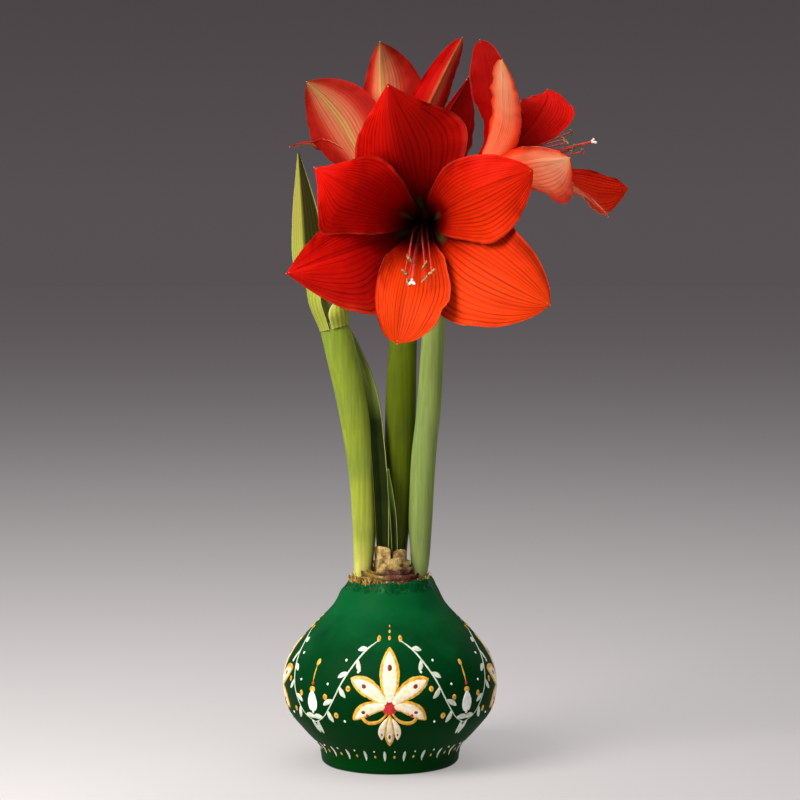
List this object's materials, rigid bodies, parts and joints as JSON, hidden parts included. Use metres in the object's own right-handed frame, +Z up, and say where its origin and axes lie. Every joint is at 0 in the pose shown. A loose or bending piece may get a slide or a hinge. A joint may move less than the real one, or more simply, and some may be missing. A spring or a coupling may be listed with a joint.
{
  "type": "waxed amaryllis bulb",
  "caption": "Forced amaryllis in bloom, its bulb dipped in smooth dark wax with a flat foot, so that it stands free and flowers without soil or water.",
  "frame": {"origin": "middle of the flat wax foot, on the face it rests on", "axes": "+Z up along the bulb; -Y the way the open face of the front bloom looks; +X to the right of that view"},
  "size_m": [0.1975, 0.2201, 0.4092],
  "materials": {
    "wax": "satin",
    "bulb": "matte",
    "stem": "satin",
    "leaf": "satin",
    "tepal": "satin",
    "stamen": "matte",
    "dry_sheath": "matte"
  },
  "bodies": {
    "root": {"wax_coat": "wax", "bulb": "bulb", "scape_left": "stem", "scape_centre": "stem", "scape_right": "stem", "leaf_long": "leaf", "leaf_short": "leaf", "sheath_left_outer": "leaf", "sheath_left_inner": "leaf", "sheath_centre_near": "dry_sheath", "sheath_centre_far": "dry_sheath", "sheath_right_near": "dry_sheath", "sheath_right_far": "dry_sheath", "bloom_front": "tepal", "bloom_left": "tepal", "bloom_right": "tepal", "stamens_front": "stamen", "stamens_left": "stamen", "stamens_right": "stamen", "pistil_front": "stamen", "pistil_left": "stamen", "pistil_right": "stamen"}
  },
  "joints": []
}
